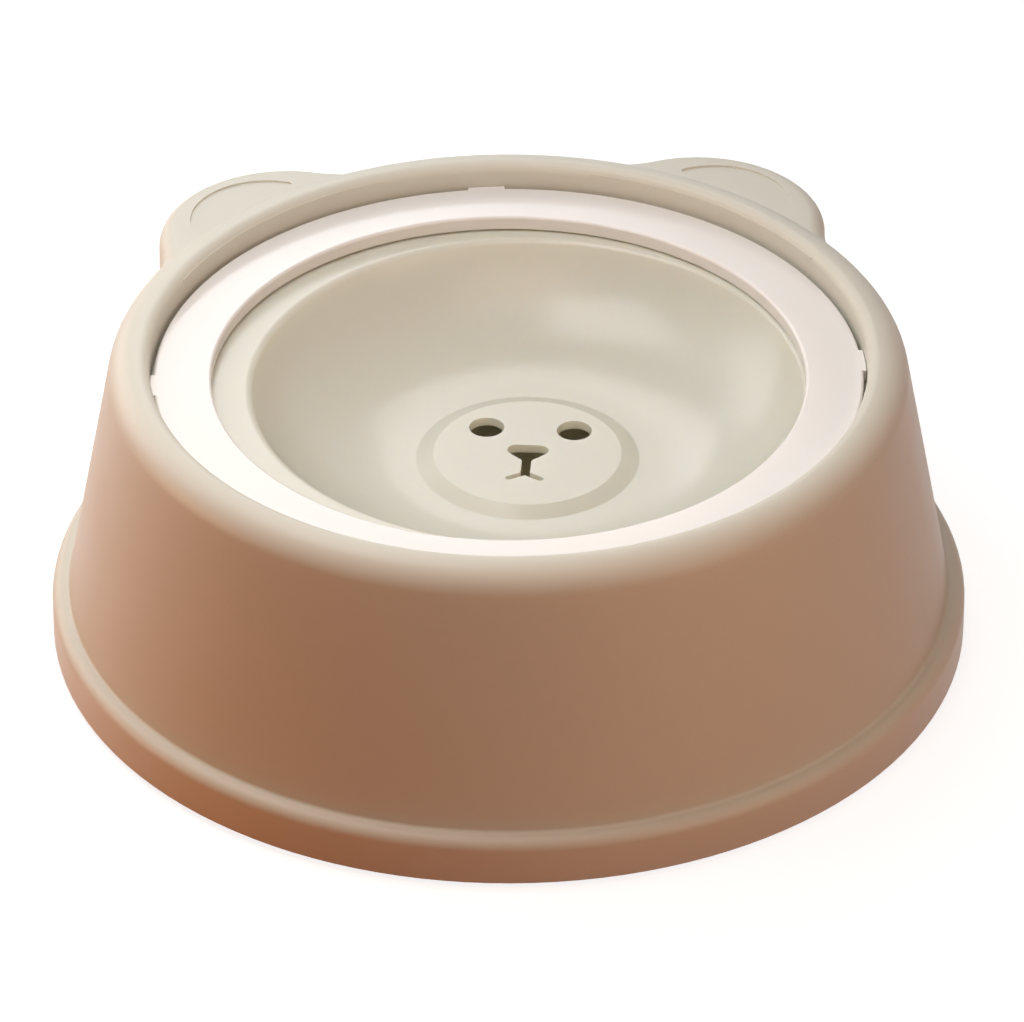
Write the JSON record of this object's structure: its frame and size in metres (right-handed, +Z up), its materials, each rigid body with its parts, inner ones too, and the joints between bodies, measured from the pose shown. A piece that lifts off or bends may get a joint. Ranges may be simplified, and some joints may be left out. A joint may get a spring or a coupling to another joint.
{
  "type": "no spill dog water bowl",
  "caption": "Round spill-resistant pet water bowl with small ears, a lift-off splash ring and a floating drinking dish with face-shaped water holes.",
  "frame": {"origin": "on the floor under the middle of the bowl, where its axis meets the plane of the feet", "axes": "+Z up along the bowl's axis, +Y to the back where the ears are, +X to the right seen from the front"},
  "size_m": [0.24, 0.24, 0.0836],
  "materials": {
    "bowl_plastic": "satin beige polypropylene",
    "ring_plastic": "satin white polypropylene",
    "float_plastic": "satin pale grey-beige polypropylene",
    "shell_plastic": "satin pale grey-beige polypropylene",
    "foot_rubber": "matt grey"
  },
  "bodies": {
    "bowl": {"bowl_shell": "bowl_plastic", "bowl_basin": "bowl_plastic", "foot_front_left": "foot_rubber", "foot_front_right": "foot_rubber", "foot_back_left": "foot_rubber", "foot_back_right": "foot_rubber"},
    "ring": {"splash_ring": "ring_plastic"},
    "float": {"float_plate": "float_plastic", "float_base": "shell_plastic"}
  },
  "joints": [
    {"name": "ring_lift", "type": "slide", "parent": "bowl", "child": "ring", "axis": [0, 0, 1], "range_m": [0, 0.05]},
    {"name": "float_travel", "type": "slide", "parent": "bowl", "child": "float", "axis": [0, 0, 1], "range_m": [-0.0335, 0], "stiffness_N_per_m": 214, "springref_m": 0.0065}
  ]
}
